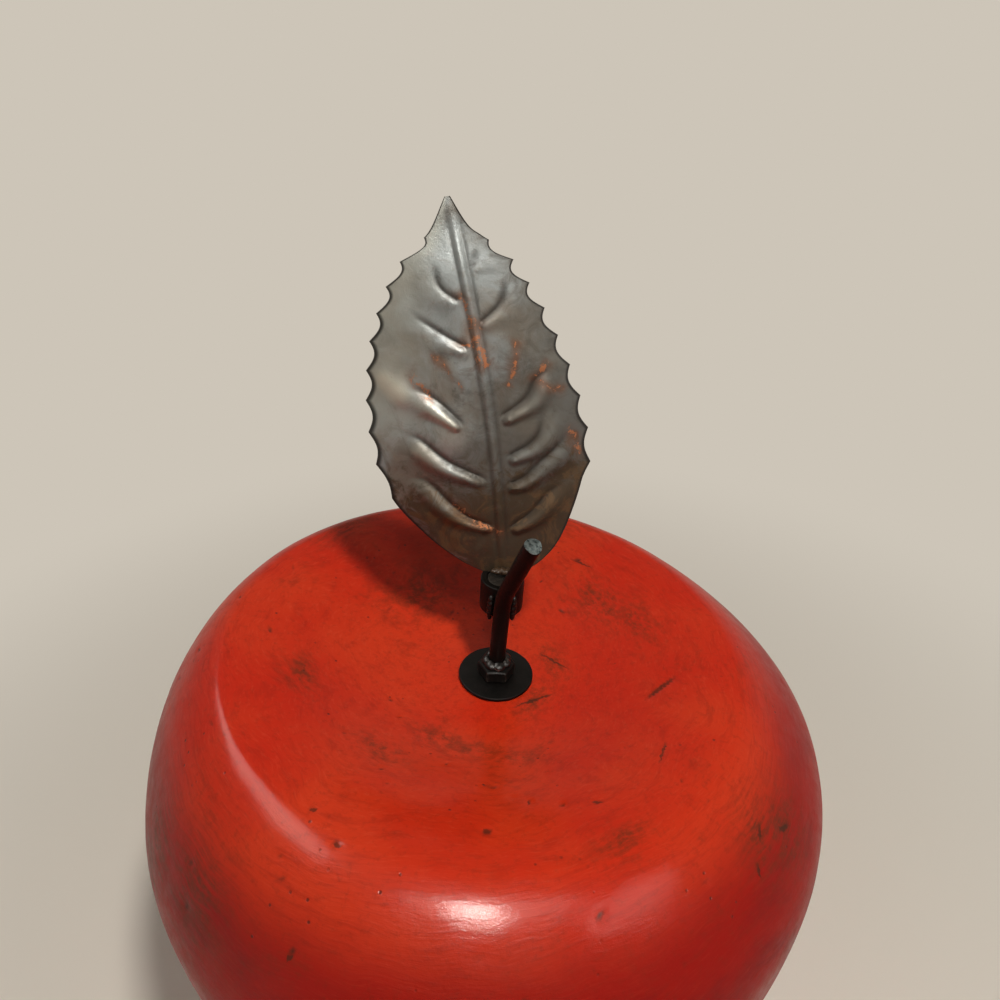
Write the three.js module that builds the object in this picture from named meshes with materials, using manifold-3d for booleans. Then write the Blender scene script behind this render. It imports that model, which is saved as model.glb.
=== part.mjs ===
// Wooden apple sculpture: a carved, painted apple with a screwed-in steel stem and a sheet-steel leaf.
// Millimetres, +Z up, origin at the middle of the resting face, the front towards -Y.
import * as THREE from 'three';
import { mergeVertices } from 'three/addons/utils/BufferGeometryUtils.js';
import Module from 'manifold-3d';

const wasm = await Module();
wasm.setup();

// Apple
const appleRadius = 136.5;
const equatorHeight = 170;
const ridgeRadius = 98;
const ridgeHeight = 226.5;
const seatHeight = 205;
const seatMargin = 1;
const shoulderRise = 26;
const shoulderRun = 10;
const bellyDrop = 65.5;
const bellyRun = 38;
const topSlant = 0.088;
const slantMargin = 4.5;
const baseOuterRadius = 62;
const baseInnerRadius = 34;
const calyxDepth = 14;

// Gap between pieces that touch on the real object
const clearance = 0.3;

// Washer and coach screw
const stemOffset = 4;
const washerRadius = 15;
const washerBoreRadius = 4.5;
const washerThickness = 1.5;
const washerEdge = 0.3;
const headAcrossFlats = 13;
const headHeight = 5.5;
const headChamfer = 0.9;
const shankRadius = 4;
const shankLength = 16;
const coreRadius = 2.8;
const threadPitch = 3.6;
const threadTurns = 10;
const threadRoot = 1.5;
const threadCrest = 0.4;
const threadSink = 0.5;
const tipLength = 7;

// Stem
const rodRadius = 3.25;
const rodLowerLean = 1.3;
const rodBendHeight = 40;
const rodBendReach = 7;
const rodUpperLength = 39;
const rodLeanRight = 13.3;
const rodLeanForward = 23;
const cutAngle = 14;
const stemWeldReach = 2.8;
const stemWeldHeight = 2.6;
const stemWeldLumps = 5;
const stemWeldRoughness = 0.14;

// Leaf socket and plug
const socketRadius = 8.6;
const socketBoreRadius = 6.3;
const socketHeight = 14;
const socketFoot = 27;
const socketEdge = 0.4;
const socketWeldRadius = 1.6;
const socketWeldLength = 12;
const plugLength = 12.5;
const plugEdge = 0.6;
const leafWeldFrontRadius = 1.9;
const leafWeldFrontLength = 10;
const leafWeldBackRadius = 1.1;
const leafWeldBackLength = 6;
const weldRipple = 2.2;

// Leaf
const leafLength = 139.8;
const leafHalfWidth = 40;
const leafThickness = 1;
const leafLean = 10.4;
const leafSetBack = 3;
const leafCup = 6;
const leafBow = 9;
const bladeSway = -2.9;
const midribSway = 3.5;
const midribHeight = 1.2;
const midribWidth = 6;
const veinHeight = 1.4;
const veinRoll = 5;
const veinStep = 2;
const teethPerSide = 10;
const toothDepth = 2.2;
const toothFreeFoot = 35;
const toothFreeTip = 11.5;
const toothThinning = 0.42;
const toothDeepening = 0.6;
// Half width along the blade from its foot to its tip, as shares of the half width and of the length
const leafOutline = [
  [0, 0.21], [0.035, 0.43], [0.11, 0.68], [0.26, 0.94], [0.38, 1],
  [0.53, 0.94], [0.69, 0.78], [0.815, 0.565], [0.87, 0.42], [0.907, 0.25], [0.935, 0.14], [1, 0.01],
];

// Side veins, each by its start, bend and end: place along the blade and distance from the midrib
const leftVeins = [
  [[107, 3], [112, 11], [121, 9]],
  [[91, 3], [99, 13], [107, 22]],
  [[64, 9], [76, 18], [81, 27]],
  [[41, 3], [53, 17], [62, 33]],
  [[21, 2], [42, 24], [45, 37]],
];
const rightVeins = [
  [[117, 2], [120, 4], [123, 6]],
  [[99, 1], [104, 12], [113, 13]],
  [[65, 3], [75, 17], [81, 25]],
  [[51, 4], [56, 20], [66, 18]],
  [[39, 3], [45, 18], [58, 28]],
  [[20, 3], [31, 16], [38, 28]],
];

// Fineness of the meshes
const appleSides = 52;
const bellyRings = 13;
const shoulderRings = 11;
const dishRings = 10;
const calyxRings = 5;
const boltSides = 16;
const ringSides = 40;
const rodSides = 20;
const rodSteps = 22;
const weldSides = 14;
const stepsPerRipple = 3;
const bladeColumns = 24;
const rowsPerTooth = 4;
const footRows = 12;
const tipRows = 4;
const veinSteps = 12;

// Colours, roughness and metalness
const redPaint = { color: 0xb42d1c, roughness: 0.42, metalness: 0 };
const blackPaint = { color: 0x1b1716, roughness: 0.5, metalness: 0.3 };
const weldMetal = { color: 0x3a3432, roughness: 0.45, metalness: 0.7 };
const leafSteel = { color: 0x726c64, roughness: 0.42, metalness: 0.9 };

// Helpers

function radians(angle) {
  return angle * Math.PI / 180;
}

function toManifold(geometry) {
  const plain = geometry.clone();
  plain.deleteAttribute('normal');
  plain.deleteAttribute('uv');
  const welded = mergeVertices(plain, 1e-4);
  return new wasm.Manifold(new wasm.Mesh({
    numProp: 3,
    vertProperties: new Float32Array(welded.attributes.position.array),
    triVerts: new Uint32Array(welded.index.array),
  }));
}

function toGeometry(manifold) {
  const mesh = manifold.getMesh();
  const geometry = new THREE.BufferGeometry();
  geometry.setAttribute('position', new THREE.BufferAttribute(mesh.vertProperties, 3));
  geometry.setIndex(new THREE.BufferAttribute(mesh.triVerts, 1));
  return geometry;
}

function moveVertices(geometry, place) {
  const position = geometry.attributes.position;
  const point = new THREE.Vector3();
  for (let i = 0; i < position.count; i += 1) {
    place(point.fromBufferAttribute(position, i));
    position.setXYZ(i, point.x, point.y, point.z);
  }
  return geometry;
}

// A solid turned about Z from points of radius and height, in order upwards on its outside
function turned(points, sides) {
  const profile = points.map(([radius, height]) => new THREE.Vector2(radius, height));
  return new THREE.LatheGeometry(profile, sides).rotateX(Math.PI / 2);
}

// A ring about Z with bevelled edges
function ring(inner, outer, bottom, top, edge) {
  return turned([
    [inner, bottom], [outer - edge, bottom], [outer, bottom + edge],
    [outer, top - edge], [outer - edge, top], [inner, top], [inner, bottom],
  ], ringSides);
}

// A weld bead along Z about the origin, with round ends and a ripple for each dab of weld metal
function bead(radius, length) {
  const ripples = Math.round(length / weldRipple);
  const steps = ripples * stepsPerRipple;
  const points = [[0, -length / 2]];
  for (let i = 1; i < steps; i += 1) {
    const along = i / steps;
    const roundEnd = Math.pow(Math.sin(Math.PI * along), 0.4);
    const ripple = 0.86 + 0.14 * Math.abs(Math.sin(Math.PI * ripples * along));
    points.push([radius * roundEnd * ripple, (along - 0.5) * length]);
  }
  points.push([0, length / 2]);
  return turned(points, weldSides);
}

// Apple

// How much of the top's slant a height takes: none just above the equator, all of it at the ridge
function slantShare(height) {
  return THREE.MathUtils.smoothstep(height, equatorHeight + slantMargin, ridgeHeight);
}

const seatSlant = topSlant * slantShare(seatHeight);

// Half a wave, as [along, fall] from [0, 0] to [1, 1]
function halfWave(steps) {
  const points = [];
  for (let i = 0; i <= steps; i += 1) {
    points.push([i / steps, 0.5 - 0.5 * Math.cos(Math.PI * i / steps)]);
  }
  return points;
}

function curvePoints(from, fromHandle, toHandle, to, steps) {
  const corners = [from, fromHandle, toHandle, to].map((corner) => new THREE.Vector2(...corner));
  return new THREE.CubicBezierCurve(...corners).getPoints(steps).map((point) => [point.x, point.y]);
}

// From the middle of the underside out and up to the middle of the top
function appleProfile() {
  const seatRadius = washerRadius + stemOffset + seatMargin;
  const calyx = halfWave(calyxRings).map(([along, fall]) => [
    baseInnerRadius * along,
    calyxDepth * (1 - fall),
  ]);
  const belly = curvePoints(
    [baseOuterRadius, 0],
    [baseOuterRadius + bellyRun, 0],
    [appleRadius, equatorHeight - bellyDrop],
    [appleRadius, equatorHeight],
    bellyRings,
  );
  const shoulder = curvePoints(
    [appleRadius, equatorHeight],
    [appleRadius, equatorHeight + shoulderRise],
    [ridgeRadius + shoulderRun, ridgeHeight],
    [ridgeRadius, ridgeHeight],
    shoulderRings,
  );
  const dish = halfWave(dishRings).map(([along, fall]) => [
    ridgeRadius + (seatRadius - ridgeRadius) * along,
    ridgeHeight + (seatHeight - ridgeHeight) * fall,
  ]);
  return [...calyx, ...belly, ...shoulder.slice(1), ...dish.slice(1), [0, seatHeight]];
}

function appleBody() {
  const solid = moveVertices(turned(appleProfile(), appleSides), (point) => {
    point.z -= topSlant * slantShare(point.z) * point.x;
  });
  const hole = onStem(toGeometry(threadedHole()));
  return toGeometry(toManifold(solid).subtract(toManifold(hole)));
}

// The stem's own frame has its origin on the seat in the dish and its Z along the screw
function onStem(geometry) {
  geometry.rotateY(Math.atan(seatSlant));
  return geometry.translate(stemOffset, 0, seatHeight - seatSlant * stemOffset);
}

// Washer and coach screw

const washerTop = clearance + washerThickness;
const headBottom = washerTop + clearance;
const headTop = headBottom + headHeight;
const threadTop = headBottom - shankLength;
const threadBottom = threadTop - threadPitch * threadTurns;
const screwTip = threadBottom - tipLength;

function washer() {
  return ring(washerBoreRadius, washerRadius, clearance, washerTop, washerEdge);
}

// A right-hand helix on the core of the screw, from one turn of the thread to another
class ThreadPath extends THREE.Curve {
  constructor(firstTurn, lastTurn) {
    super();
    this.firstTurn = firstTurn;
    this.lastTurn = lastTurn;
  }

  turn(along) {
    return this.firstTurn + (this.lastTurn - this.firstTurn) * along;
  }

  getPoint(along, target = new THREE.Vector3()) {
    const turn = this.turn(along);
    const angle = 2 * Math.PI * turn;
    return target.set(
      coreRadius * Math.cos(angle),
      coreRadius * Math.sin(angle),
      threadBottom + threadPitch * turn,
    );
  }

  // The section of the thread points straight out from the screw
  computeFrenetFrames(segments) {
    const tangents = [];
    const normals = [];
    const binormals = [];
    for (let i = 0; i <= segments; i += 1) {
      const angle = 2 * Math.PI * this.turn(i / segments);
      tangents.push(new THREE.Vector3(-Math.sin(angle), Math.cos(angle), 0));
      normals.push(new THREE.Vector3(Math.cos(angle), Math.sin(angle), 0));
      binormals.push(new THREE.Vector3(0, 0, -1));
    }
    return { tangents, normals, binormals };
  }
}

function thread(gap, firstTurn) {
  const height = shankRadius - coreRadius + gap;
  const section = new THREE.Shape([
    new THREE.Vector2(-threadSink, -threadRoot / 2 - gap),
    new THREE.Vector2(height, -threadCrest / 2 - gap),
    new THREE.Vector2(height, threadCrest / 2 + gap),
    new THREE.Vector2(-threadSink, threadRoot / 2 + gap),
  ]);
  return toManifold(new THREE.ExtrudeGeometry(section, {
    steps: Math.round((threadTurns - firstTurn) * boltSides),
    extrudePath: new ThreadPath(firstTurn, threadTurns),
  }));
}

// The hole is drilled wide for the shank and one turn deeper, and the thread cuts its own way below that
function threadedHole() {
  const pilot = coreRadius + clearance;
  const wide = shankRadius + clearance;
  const step = threadTop - threadPitch;
  const drilled = turned([
    [0, screwTip - clearance], [pilot, screwTip - clearance], [pilot, step - wide + pilot],
    [wide, step], [wide, headTop], [0, headTop],
  ], boltSides);
  return toManifold(drilled).add(thread(clearance, -1 / boltSides));
}

function hexHead() {
  const corner = headAcrossFlats / Math.sqrt(3);
  const corners = [0, 1, 2, 3, 4, 5].map((i) => new THREE.Vector2(
    corner * Math.cos(i * Math.PI / 3),
    corner * Math.sin(i * Math.PI / 3),
  ));
  const prism = new THREE.ExtrudeGeometry(new THREE.Shape(corners), {
    depth: headHeight,
    bevelEnabled: false,
  });
  const crown = turned([
    [0, 0], [corner + headChamfer, 0], [corner + headChamfer, headHeight - headChamfer],
    [headAcrossFlats / 2 - headChamfer, headHeight], [0, headHeight],
  ], ringSides);
  const head = toManifold(prism).intersect(toManifold(crown));
  return head.translate([0, 0, headBottom]);
}

function coachScrew() {
  const shank = turned([
    [0, screwTip], [coreRadius, threadBottom], [coreRadius, threadTop],
    [shankRadius, threadTop + shankRadius - coreRadius], [shankRadius, headTop - headHeight / 2],
    [0, headTop - headHeight / 2],
  ], boltSides);
  return toGeometry(toManifold(shank).add(thread(0, 0)).add(hexHead()));
}

// Stem

const rodFoot = new THREE.Vector3(0, 0, headTop + clearance);
const lowerLeg = new THREE.Vector3(Math.tan(radians(rodLowerLean)), 0, 1);
const upperLeg = new THREE.Vector3(
  Math.tan(radians(rodLeanRight)),
  -Math.tan(radians(rodLeanForward)),
  1,
).normalize();

// The middle of the lower leg at a height
function lowerLegAt(height) {
  return rodFoot.clone().addScaledVector(lowerLeg, height - rodFoot.z);
}

const rodBend = lowerLegAt(rodBendHeight);
const rodEnd = rodBend.clone().addScaledVector(upperLeg, rodUpperLength);

function rodPath() {
  const bendStart = lowerLegAt(rodBendHeight - rodBendReach);
  const bendEnd = rodBend.clone().addScaledVector(upperLeg, rodBendReach);
  const path = new THREE.CurvePath();
  path.add(new THREE.LineCurve3(rodFoot, bendStart));
  path.add(new THREE.QuadraticBezierCurve3(bendStart, rodBend, bendEnd));
  path.add(new THREE.LineCurve3(bendEnd, rodEnd));
  return path;
}

// The bar's end is nipped off by a cutter, which leaves two faces that meet in a low ridge
function stemRod() {
  const section = new THREE.Shape().absarc(0, 0, rodRadius, 0, 2 * Math.PI);
  const bar = new THREE.ExtrudeGeometry(section, {
    steps: rodSteps,
    curveSegments: rodSides / 2,
    extrudePath: rodPath(),
  });
  let solid = toManifold(bar);
  const facing = new THREE.Quaternion().setFromUnitVectors(new THREE.Vector3(0, 0, 1), upperLeg);
  for (const side of [-1, 1]) {
    const nipper = new THREE.BoxGeometry(4 * rodRadius, 4 * rodRadius, 4 * rodRadius);
    nipper.translate(0, 0, 2 * rodRadius);
    nipper.rotateX(side * radians(cutAngle));
    nipper.rotateZ(Math.PI / 4);
    nipper.applyQuaternion(facing);
    nipper.translate(rodEnd.x, rodEnd.y, rodEnd.z);
    solid = solid.subtract(toManifold(nipper));
  }
  return toGeometry(solid);
}

// A lumpy fillet round the foot of the bar
function stemWeld() {
  const inner = rodRadius + clearance;
  const bottom = headTop + clearance;
  const fillet = turned([
    [inner, bottom],
    [inner + stemWeldReach, bottom],
    [inner + 0.8 * stemWeldReach, bottom + 0.5 * stemWeldHeight],
    [inner + 0.35 * stemWeldReach, bottom + 0.8 * stemWeldHeight],
    [inner, bottom + stemWeldHeight],
    [inner, bottom],
  ], weldSides * 2);
  return moveVertices(fillet, (point) => {
    const angle = Math.atan2(point.y, point.x);
    const radius = Math.hypot(point.x, point.y);
    const dent = stemWeldRoughness * (1 + Math.sin(stemWeldLumps * angle)) * (radius - inner) / stemWeldReach;
    point.x *= 1 - dent;
    point.y *= 1 - dent;
  });
}

// Leaf socket and plug

const socketTop = socketFoot + socketHeight;
const socketSide = lowerLegAt(socketFoot + socketHeight / 2).x;
const socketBack = rodRadius + clearance + socketRadius;

function leafSocket() {
  const tube = ring(socketBoreRadius, socketRadius, socketFoot, socketTop, socketEdge);
  return tube.translate(socketSide, socketBack, 0);
}

// A bead lies in the valley between the bar and the socket, just clear of both
function socketWeld(side) {
  const toRod = rodRadius + clearance + socketWeldRadius;
  const toSocket = socketRadius + clearance + socketWeldRadius;
  const back = (toRod ** 2 - toSocket ** 2 + socketBack ** 2) / (2 * socketBack);
  const out = Math.sqrt(toRod ** 2 - back ** 2);
  const middle = lowerLegAt(Math.min(socketFoot + socketHeight / 2, rodBendHeight - rodBendReach));
  const weld = bead(socketWeldRadius, socketWeldLength).rotateY(radians(rodLowerLean));
  return weld.translate(middle.x + side * out, back, middle.z);
}

function leafPlug() {
  const radius = socketBoreRadius - clearance;
  const bottom = socketTop - plugLength;
  const plug = turned([
    [0, bottom], [radius - plugEdge, bottom], [radius, bottom + plugEdge],
    [radius, socketTop - plugEdge], [radius - plugEdge, socketTop], [0, socketTop],
  ], ringSides);
  return plug.translate(socketSide, socketBack, 0);
}

// Leaf

const bladeFoot = socketTop + clearance;
const bladePlane = socketBack + leafSetBack;
const lastTooth = leafLength - toothFreeTip;
const toothRows = (teethPerSide - 1) * rowsPerTooth;
const bladeRows = footRows + toothRows + tipRows;
const outlineCurve = new THREE.SplineCurve(leafOutline.map(([along, out]) => new THREE.Vector2(along, out)));
const outlinePoints = outlineCurve.getPoints(200);

function outlineHalfWidth(along) {
  const next = Math.max(1, outlinePoints.findIndex((point) => point.x >= along - 1e-9));
  const before = outlinePoints[next - 1];
  const after = outlinePoints[next];
  const share = (along - before.x) / (after.x - before.x);
  return leafHalfWidth * (before.y + (after.y - before.y) * share);
}

// Distance from the foot of a row of the blade, closer together towards the tip
function rowPlace(row) {
  if (row <= footRows) {
    return toothFreeFoot * row / footRows;
  }
  if (row >= footRows + toothRows) {
    return lastTooth + (leafLength - lastTooth) * (row - footRows - toothRows) / tipRows;
  }
  const share = (row - footRows) / toothRows;
  const spread = (1 + toothThinning) * share - toothThinning * share ** 2;
  return toothFreeFoot + (lastTooth - toothFreeFoot) * spread;
}

// The teeth are points between scallops that deepen towards the tip, and those of the two sides are staggered
function scallop(row, side) {
  const tooth = (row - footRows) / rowsPerTooth + (side > 0 ? 0.5 : 0);
  if (tooth <= 0 || tooth >= teethPerSide - 1) {
    return 0;
  }
  const depth = toothDepth * (1 + toothDeepening * (tooth / (teethPerSide - 1)) ** 2);
  return depth * Math.sin(Math.PI * (tooth - Math.floor(tooth)));
}

function veinPoints(vein) {
  const corners = vein.map((corner) => new THREE.Vector2(...corner));
  return new THREE.QuadraticBezierCurve(...corners).getPoints(veinSteps);
}

const leftVeinPoints = leftVeins.map(veinPoints);
const rightVeinPoints = rightVeins.map(veinPoints);

// A vein rolls off gently towards the foot of the blade and drops in a step towards its tip
function veinRise(points, place, out) {
  const gaps = points.map((point) => Math.hypot(point.x - place, point.y - out));
  const gap = Math.min(...gaps);
  const width = points[gaps.indexOf(gap)].x > place ? veinRoll : veinStep;
  return veinHeight * Math.exp(-((gap / width) ** 2));
}

// How far the blade stands forward of its plane: the midrib, the side veins, the cupped sides and the bow of
// its length
function bladeRelief(place, out, edge) {
  const fade = THREE.MathUtils.smoothstep(place, 0, toothFreeFoot / 2) * (1 - edge ** 4);
  const ridge = midribHeight * Math.exp(-((2 * out / midribWidth) ** 2));
  const veins = out < 0 ? leftVeinPoints : rightVeinPoints;
  const highest = Math.max(...veins.map((points) => veinRise(points, place, Math.abs(out))));
  const cup = leafCup * (out / leafHalfWidth) ** 2;
  const bow = leafBow * (place / leafLength) ** 2;
  return fade * Math.max(ridge, highest) - cup - bow;
}

// The blade leans to the left from a square foot that stands on the socket's rim
function leafBlade() {
  const lean = radians(leafLean);
  const blade = moveVertices(new THREE.BoxGeometry(2, 1, 1, bladeColumns, bladeRows, 1), (point) => {
    const row = Math.round((point.y + 0.5) * bladeRows);
    const place = rowPlace(row);
    const reach = outlineHalfWidth(place / leafLength) - scallop(row, point.x) * Math.abs(point.x);
    const midrib = midribSway * Math.sin(Math.PI * place / leafLength);
    const middle = bladeSway * Math.sin(Math.PI * (place / leafLength) ** 1.5);
    const across = point.x * reach + point.x ** 2 * middle + (1 - point.x ** 2) * midrib;
    const forward = bladeRelief(place, across - midrib, point.x) + leafThickness * point.z;
    const turnedRow = THREE.MathUtils.smoothstep(place, 0, toothFreeFoot);
    point.set(
      across * Math.cos(lean) - place * Math.sin(lean),
      -forward,
      place * Math.cos(lean) + turnedRow * across * Math.sin(lean),
    );
  });
  return blade.translate(socketSide, bladePlane, bladeFoot);
}

// The blade's foot is welded to the plug's top on both faces
function leafWeld(radius, length, side) {
  const back = bladePlane + side * (leafThickness / 2 + clearance + radius);
  return bead(radius, length).rotateY(Math.PI / 2).translate(socketSide, back, bladeFoot + radius);
}

// Assembly

const sculpture = new THREE.Group();
sculpture.name = 'wooden_apple';

function addPiece(name, geometry, finish) {
  const mesh = new THREE.Mesh(geometry, new THREE.MeshStandardMaterial(finish));
  mesh.name = name;
  sculpture.add(mesh);
}

addPiece('apple_body', appleBody(), redPaint);
addPiece('washer', onStem(washer()), blackPaint);
addPiece('coach_screw', onStem(coachScrew()), blackPaint);
addPiece('stem_rod', onStem(stemRod()), blackPaint);
addPiece('stem_weld', onStem(stemWeld()), weldMetal);
addPiece('leaf_socket', onStem(leafSocket()), blackPaint);
addPiece('socket_weld_left', onStem(socketWeld(-1)), weldMetal);
addPiece('socket_weld_right', onStem(socketWeld(1)), weldMetal);
addPiece('leaf_plug', onStem(leafPlug()), leafSteel);
addPiece('leaf_blade', onStem(leafBlade()), leafSteel);
addPiece('leaf_weld_front', onStem(leafWeld(leafWeldFrontRadius, leafWeldFrontLength, -1)), weldMetal);
addPiece('leaf_weld_back', onStem(leafWeld(leafWeldBackRadius, leafWeldBackLength, 1)), weldMetal);

export default sculpture;
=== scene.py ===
"""Wooden apple sculpture: fine surfaces, materials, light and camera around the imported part.

Lengths are in metres, angles in degrees, and the frame is the part's own: +Z up, the front towards -Y.
"""
from math import atan, atan2, cos, degrees, pi, radians, sin, sqrt, tan

import bpy
import numpy as np
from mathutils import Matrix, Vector, noise

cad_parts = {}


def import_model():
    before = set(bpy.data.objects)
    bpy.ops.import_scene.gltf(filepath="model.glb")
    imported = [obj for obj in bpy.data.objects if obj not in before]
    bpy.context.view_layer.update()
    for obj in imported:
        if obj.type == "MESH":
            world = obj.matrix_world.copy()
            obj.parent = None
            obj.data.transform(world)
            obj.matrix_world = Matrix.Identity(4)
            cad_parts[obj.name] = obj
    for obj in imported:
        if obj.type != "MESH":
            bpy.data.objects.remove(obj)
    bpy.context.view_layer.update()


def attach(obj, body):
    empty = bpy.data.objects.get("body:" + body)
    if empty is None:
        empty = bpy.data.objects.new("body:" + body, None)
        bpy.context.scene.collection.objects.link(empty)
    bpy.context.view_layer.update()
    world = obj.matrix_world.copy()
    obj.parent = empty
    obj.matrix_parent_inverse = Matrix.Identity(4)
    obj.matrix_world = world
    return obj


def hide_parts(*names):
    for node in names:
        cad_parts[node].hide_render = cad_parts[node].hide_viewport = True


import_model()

MM = 0.001

# Apple
APPLE_RADIUS = 0.1365
EQUATOR_HEIGHT = 0.17
RIDGE_RADIUS = 0.098
RIDGE_HEIGHT = 0.2265
SEAT_HEIGHT = 0.205
SEAT_RADIUS = 0.02
HOLE_LIP = 0.001
SHOULDER_RISE = 0.026
SHOULDER_RUN = 0.01
BELLY_DROP = 0.0655
BELLY_RUN = 0.038
TOP_SLANT = 0.088
SLANT_MARGIN = 0.0045
BASE_OUTER_RADIUS = 0.062
BASE_INNER_RADIUS = 0.034
CALYX_DEPTH = 0.014
APPLE_SIDES = 384
CALYX_RINGS = 18
BASE_RINGS = 8
BELLY_RINGS = 66
SHOULDER_RINGS = 46
DISH_RINGS = 62
SEAT_RINGS = 12

# Hand carving: hollows cut into the turned shape, as [size of a hollow, depth]
CARVING = [[0.075, 0.0012], [0.028, 0.0004], [0.009, 0.00012]]
# It fades out towards the washer and towards the flat ring of the base
CARVING_FADE = 0.02
UNCARVED_BASE = 0.002
# Marks on the apple: x, y, heading in degrees, length, width, depth, all but the heading in millimetres
MARKS = np.array([
    [67.5, -15.5, 36, 16, 1.8, 0.8], [61.5, -49.5, 67, 12, 0.9, 0.5],
    [19, -13, 26, 20, 1.5, 0.4], [28.5, 9, -40, 16, 1.4, 0.4],
    [2, -84.5, 0, 2.4, 2.2, 0.8], [15, -71, 80, 3, 1, 0.5],
    [36.5, -71.5, 10, 4, 1.2, 0.5], [90, -72.5, 75, 5, 1.6, 0.3],
    [101, -66.5, 40, 7, 1.8, 0.3], [87.5, -83, 95, 3.6, 1.2, 0.3],
    [-50, -81.5, 20, 2.2, 1.7, 0.6], [-41, -92, -30, 2.6, 1.5, 0.6],
    [-53, -111.5, 30, 3, 1.4, 0.6], [44, 60, -30, 12, 1.2, 0.5],
]) * [MM, MM, 1, MM, MM, MM]
# Places where the brown wash lies thick, and one painted shadow of the leaf, in millimetres: x, y,
# reach along the brush, reach across it
WASHES_AND_LEAF_SHADOW = np.array([
    [19, -13, 12, 5], [28, 8, 12, 5], [-16, -35, 11, 6], [-3, -40.5, 12, 5], [10, -45.5, 10, 5],
    [-35, -49, 10, 6], [43, -86, 11, 5], [90, -73, 12, 9], [101, -67, 14, 9], [50, 38, 18, 9],
    # The row at -30, 42 is no wash but a painted shadow of the leaf on the back left of the top
    [65, 23, 14, 7], [-30, 42, 20, 12], [-68, -20, 11, 6], [-109, -72, 16, 10], [-87, -91, 16, 9],
    [-70, 70, 18, 8], [30, 90, 20, 8],
]) * MM
PIT_COUNT = 110
PIT_SIZES = (0.0006, 0.0016)
PIT_DEPTH = 0.0007

# Stem frame: its origin is on the seat and its Z is along the screw
STEM_OFFSET = 0.004
# Between neighbouring pieces
GAP = 0.0003

# Washer and coach screw
WASHER_RADIUS = 0.015
WASHER_BORE = 0.0045
WASHER_THICKNESS = 0.0015
WASHER_EDGE = 0.0004
HEAD_FLATS = 0.013
HEAD_HEIGHT = 0.0055
HEAD_CHAMFER = 0.0009
SHANK_RADIUS = 0.004
SHANK_LENGTH = 0.016
CORE_RADIUS = 0.0028
THREAD_PITCH = 0.0036
THREAD_TURNS = 10
THREAD_ROOT = 0.0015
THREAD_CREST = 0.0004
TIP_LENGTH = 0.007
TIP_BLUNTNESS = 0.03
SCREW_SIDES = 60
ROWS_PER_PITCH = 14

# Stem
ROD_RADIUS = 0.00325
ROD_LOWER_LEAN = 1.3
ROD_BEND_HEIGHT = 0.04
ROD_BEND_REACH = 0.007
ROD_UPPER_LENGTH = 0.039
ROD_LEAN_RIGHT = 13.3
ROD_LEAN_FORWARD = 23
CUT_ANGLE = 14
CUT_TURN = 45
CUT_BURR = 0.00012
ROD_SIDES = 40
# Rings along the lower leg, the bend and the upper leg
ROD_RINGS = [28, 16, 36]
# Rings on the end faces, as shares of the bar's radius, and the share that rounds the cut's edge
FOOT_SHARES = (0.5, 0.93)
CUT_SHARES = (1, 0.97, 0.8, 0.6, 0.4, 0.2)
CUT_EDGE = 0.985
ROD_DENTS = 0.00005
ROD_DENT_SIZE = 0.004
STEM_WELD_REACH = 0.0028
STEM_WELD_HEIGHT = 0.0026
STEM_WELD_DABS = 7
DAB_DEPTH = 0.28
DAB_ROUGHNESS = 0.22
WELD_LUMP = 0.0016

# Leaf socket, plug and weld beads
SOCKET_RADIUS = 0.0086
SOCKET_BORE = 0.0063
SOCKET_HEIGHT = 0.014
SOCKET_FOOT = 0.027
SOCKET_EDGE = 0.0005
PLUG_LENGTH = 0.0125
PLUG_EDGE = 0.0006
PLUG_CRUMPLE = 0.0009
PLUG_TOP_RINGS = 12
PLUG_TOP_STEP = 0.07
# The plug is as dark as the blade is at this place across it, near its rim
PLUG_SHADE = 0.986
# Weld beads: radius, length
SOCKET_WELD = [0.0016, 0.012]
LEAF_WELD_FRONT = [0.0019, 0.01]
LEAF_WELD_BACK = [0.0011, 0.006]
WELD_RIPPLE = 0.0022
RIPPLE_DEPTH = 0.2
RINGS_PER_DAB = 7
BEAD_SIDES = 28
RING_SIDES = 72

# Leaf
LEAF_LENGTH = 0.1398
LEAF_HALF_WIDTH = 0.04
LEAF_THICKNESS = 0.001
LEAF_LIP = 0.0003
LEAF_LEAN = 10.4
LEAF_SET_BACK = 0.003
LEAF_CUP = 0.006
LEAF_BOW = 0.009
BLADE_SWAY = -0.0029
MIDRIB_SWAY = 0.0035
MIDRIB_HEIGHT = 0.0008
MIDRIB_WIDTH = 0.002
VEIN_HEIGHT = 0.0017
VEIN_RISE = 0.0046
VEIN_NARROW = 0.4
LONG_VEIN = 0.016
# Shares of a vein's length where it is in full, where it is at its widest and where it starts to fade
VEIN_FULL = 0.1
VEIN_WIDEST = 0.6
VEIN_FADE = 0.55
# The veins grow fainter between these places along the blade, and by this share
CALM_PLACES = (0.078, 0.098)
CALM_SHARE = 0.85
RAISED_SHARE = 0.4
CREASE_WIDTH = 0.0012
CREASE_DEPTH = 0.0005
TEETH = 10
TOOTH_DEPTH = 0.0022
TOOTH_FREE_FOOT = 0.035
TOOTH_FREE_TIP = 0.0115
TOOTH_THINNING = 0.42
TOOTH_DEEPENING = 0.6
LEAF_DENTS = [[0.024, 0.0008], [0.009, 0.00015]]
LEAF_DENTS_START = (0.004, 0.02)
ROWS_PER_TOOTH = 16
FOOT_ROWS = 52
TIP_ROWS = 24
LEAF_COLUMNS = 140
# Half width along the blade from its foot to its tip, as shares of the length and of the half width
LEAF_OUTLINE = [
    [0, 0.21], [0.035, 0.43], [0.11, 0.68], [0.26, 0.94], [0.38, 1],
    [0.53, 0.94], [0.69, 0.78], [0.815, 0.565], [0.87, 0.42], [0.907, 0.25], [0.935, 0.14], [1, 0.01],
]
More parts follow.
